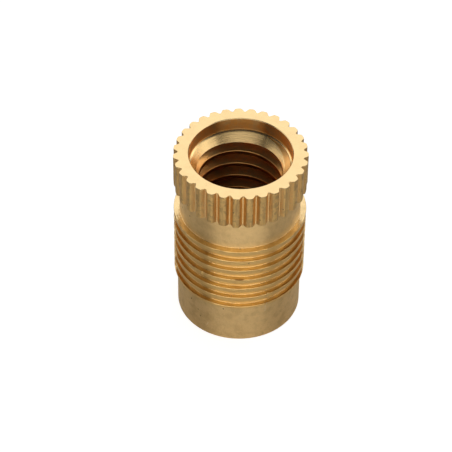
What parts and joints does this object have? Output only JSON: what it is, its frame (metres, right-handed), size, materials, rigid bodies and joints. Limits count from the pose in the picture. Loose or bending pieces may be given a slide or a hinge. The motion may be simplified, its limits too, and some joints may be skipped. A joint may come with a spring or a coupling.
{
  "type": "threaded insert",
  "caption": "Round brass insert with a threaded through bore and counterbore, a straight-knurled head, a relief neck, a body with level ring grooves and a plain pilot.",
  "frame": {"origin": "centre of the pilot's lower end, where the insert's axis meets the plane that it stands on", "axes": "+Z along the bore from the pilot's end to the top face of the knurled head"},
  "size_m": [0.0082, 0.0082, 0.0122],
  "materials": {
    "brass": "bright turned brass, with fine tool lines on the faces and duller knurl and groove sides"
  },
  "bodies": {
    "root": {"insert": "brass"}
  },
  "joints": []
}
